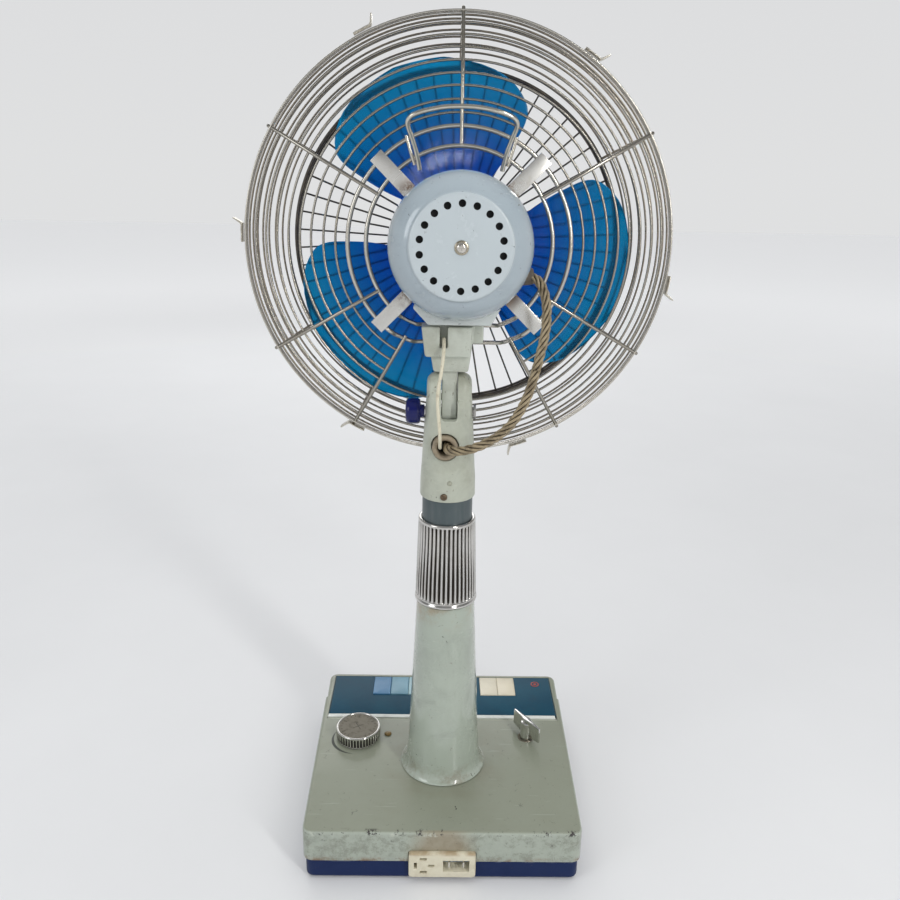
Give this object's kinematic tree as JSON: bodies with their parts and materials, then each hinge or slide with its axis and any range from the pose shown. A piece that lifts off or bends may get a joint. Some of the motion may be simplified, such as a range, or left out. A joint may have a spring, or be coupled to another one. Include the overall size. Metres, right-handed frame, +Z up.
{
  "type": "desk fan",
  "caption": "Oscillating desk fan on a telescopic column, with a wire guard, carry handle, piano keys, timer knob and tilting motor head.",
  "frame": {"origin": "centre of the overall box, at the height of the underside of the feet", "axes": "+Z up, the fan blows towards -Y, +X is on the left as seen from behind"},
  "size_m": [0.3801, 0.2642, 0.7245],
  "materials": {
    "pale_enamel": "satin",
    "navy_enamel": "satin",
    "black_rubber": "matte",
    "panel_navy": "gloss",
    "trim_white": "satin",
    "key_blue_1": "gloss",
    "key_blue_2": "gloss",
    "key_blue_3": "gloss",
    "key_blue_4": "gloss",
    "key_blue_5": "gloss",
    "key_cream": "satin",
    "chrome": "polished",
    "guard_wire": "worn",
    "front_wire": "worn",
    "amber_plastic": "gloss",
    "ivory_plastic": "satin",
    "bakelite": "matte",
    "pole_blue": "satin",
    "casting_green": "satin",
    "motor_grey": "gloss",
    "cover_grey": "gloss",
    "knob_blue": "gloss",
    "grommet_rubber": "matte",
    "blade_blue": "gloss",
    "bare_steel": "satin",
    "copper_winding": "satin",
    "bronze": "satin",
    "lead_vinyl": "matte",
    "cable_vinyl": "matte",
    "cast_iron": "matte"
  },
  "bodies": {
    "base": {"base_shell": "pale_enamel", "base_tray": "navy_enamel", "foot_1": "black_rubber", "foot_2": "black_rubber", "foot_3": "black_rubber", "foot_4": "black_rubber", "control_panel": "panel_navy", "panel_trim": "trim_white", "timer_body": "bare_steel", "index_dot": "amber_plastic", "lever_switch": "bakelite", "inlet_block": "ivory_plastic", "inlet_pin_1": "chrome", "inlet_pin_2": "chrome", "ballast_plate": "cast_iron", "key_switch": "bakelite", "column": "pale_enamel"},
    "key_blue_1": {"key_blue_1": "key_blue_1"},
    "key_blue_2": {"key_blue_2": "key_blue_2"},
    "key_blue_3": {"key_blue_3": "key_blue_3"},
    "key_blue_4": {"key_blue_4": "key_blue_4"},
    "key_blue_5": {"key_blue_5": "key_blue_5"},
    "key_cream_1": {"key_cream_1": "key_cream"},
    "key_cream_2": {"key_cream_2": "key_cream"},
    "timer_knob": {"timer_knob": "chrome"},
    "oscillation_lever": {"oscillation_lever": "chrome"},
    "clamp_ring": {"clamp_ring": "chrome"},
    "neck": {"inner_pole": "pole_blue", "neck": "casting_green", "grommet": "grommet_rubber", "neck_screw": "bare_steel", "tilt_bolt": "bare_steel", "motor_lead": "lead_vinyl", "control_cable": "cable_vinyl"},
    "tilt_knob": {"tilt_knob": "knob_blue"},
    "tilt_bracket": {"tilt_bracket": "casting_green", "pivot_pin": "bare_steel"},
    "head": {"motor_housing": "motor_grey", "motor_cover": "cover_grey", "cover_screw": "chrome", "stator": "copper_winding", "bearing_front": "bronze", "bearing_rear": "bronze", "gearbox": "bare_steel", "guard_arms": "guard_wire", "rear_guard": "guard_wire", "carry_handle": "guard_wire", "front_guard": "front_wire", "guard_badge": "knob_blue"},
    "swing_crank": {"swing_crank": "bronze"},
    "rotor": {"motor_shaft": "bare_steel", "rotor": "bare_steel", "fan_blades": "blade_blue", "spinner": "knob_blue"},
    "clip_1": {"clip_1": "guard_wire"},
    "clip_2": {"clip_2": "guard_wire"},
    "clip_3": {"clip_3": "guard_wire"},
    "clip_4": {"clip_4": "guard_wire"},
    "clip_5": {"clip_5": "guard_wire"},
    "clip_6": {"clip_6": "guard_wire"}
  },
  "joints": [
    {"name": "key_blue_1_press", "type": "slide", "parent": "base", "child": "key_blue_1", "axis": [0, 0, -1], "range_m": [0, 0.005], "stiffness_N_per_m": 400, "springref_m": -0.002},
    {"name": "key_blue_2_press", "type": "slide", "parent": "base", "child": "key_blue_2", "axis": [0, 0, -1], "range_m": [0, 0.005], "stiffness_N_per_m": 400, "springref_m": -0.002},
    {"name": "key_blue_3_press", "type": "slide", "parent": "base", "child": "key_blue_3", "axis": [0, 0, -1], "range_m": [0, 0.005], "stiffness_N_per_m": 400, "springref_m": -0.002},
    {"name": "key_blue_4_press", "type": "slide", "parent": "base", "child": "key_blue_4", "axis": [0, 0, -1], "range_m": [0, 0.005], "stiffness_N_per_m": 400, "springref_m": -0.002},
    {"name": "key_blue_5_press", "type": "slide", "parent": "base", "child": "key_blue_5", "axis": [0, 0, -1], "range_m": [0, 0.005], "stiffness_N_per_m": 400, "springref_m": -0.002},
    {"name": "key_cream_1_press", "type": "slide", "parent": "base", "child": "key_cream_1", "axis": [0, 0, -1], "range_m": [0, 0.005], "stiffness_N_per_m": 400, "springref_m": -0.002},
    {"name": "key_cream_2_press", "type": "slide", "parent": "base", "child": "key_cream_2", "axis": [0, 0, -1], "range_m": [0, 0.005], "stiffness_N_per_m": 400, "springref_m": -0.002},
    {"name": "timer_turn", "type": "hinge", "parent": "base", "child": "timer_knob", "pos_m": [0.0897, -0.0014, 0.06], "axis": [0, 0, 1], "range_deg": [-300, 0]},
    {"name": "lever_turn", "type": "hinge", "parent": "base", "child": "oscillation_lever", "pos_m": [-0.0807, -0.0034, 0.06], "axis": [0, 0, 1], "range_deg": [0, 90]},
    {"name": "clamp_turn", "type": "hinge", "parent": "base", "child": "clamp_ring", "pos_m": [0.0043, 0.0306, 0.27], "axis": [0, 0, 1], "range_deg": [0, 180]},
    {"name": "column_raise", "type": "slide", "parent": "base", "child": "neck", "axis": [0, 0, 1], "range_m": [0, 0.13]},
    {"name": "tilt_knob_turn", "type": "hinge", "parent": "neck", "child": "tilt_knob", "pos_m": [0.0323, 0.0306, 0.408], "axis": [1, 0, 0], "range_deg": [-180, 0]},
    {"name": "head_tilt", "type": "hinge", "parent": "neck", "child": "tilt_bracket", "pos_m": [0.0043, 0.0306, 0.408], "axis": [1, 0, 0], "range_deg": [-20, 11], "deforming": ["motor_lead", "control_cable"]},
    {"name": "head_swing", "type": "hinge", "parent": "tilt_bracket", "child": "head", "pos_m": [0.0043, 0.02627, 0.48307], "axis": [0, -0.0576, 0.9983], "range_deg": [-40, 40], "deforming": ["motor_lead"]},
    {"name": "crank_turn", "type": "hinge", "parent": "head", "child": "swing_crank", "pos_m": [-0.0022, 0.06357, 0.5311], "axis": [0, -0.0576, 0.9983], "continuous": true},
    {"name": "blade_spin", "type": "hinge", "parent": "head", "child": "rotor", "pos_m": [-0.0022, -0.03719, 0.54132], "axis": [0, -0.9983, -0.0576], "continuous": true},
    {"name": "clip_1_swing", "type": "hinge", "parent": "head", "child": "clip_1", "pos_m": [-0.10296, -0.03214, 0.69702], "axis": [0, 0.9983, 0.0576], "range_deg": [0, 50]},
    {"name": "clip_2_swing", "type": "hinge", "parent": "head", "child": "clip_2", "pos_m": [0.08465, -0.03261, 0.7052], "axis": [0, 0.9983, 0.0576], "range_deg": [0, 50]},
    {"name": "clip_3_swing", "type": "hinge", "parent": "head", "child": "clip_3", "pos_m": [0.1828, -0.02321, 0.54212], "axis": [0, 0.9983, 0.0576], "range_deg": [0, 50]},
    {"name": "clip_4_swing", "type": "hinge", "parent": "head", "child": "clip_4", "pos_m": [0.08179, -0.01372, 0.37756], "axis": [0, 0.9983, 0.0576], "range_deg": [0, 50]},
    {"name": "clip_5_swing", "type": "hinge", "parent": "head", "child": "clip_5", "pos_m": [-0.06547, -0.0132, 0.36857], "axis": [0, 0.9983, 0.0576], "range_deg": [0, 50]},
    {"name": "clip_6_swing", "type": "hinge", "parent": "head", "child": "clip_6", "pos_m": [-0.1854, -0.02173, 0.51642], "axis": [0, 0.9983, 0.0576], "range_deg": [0, 50]}
  ]
}
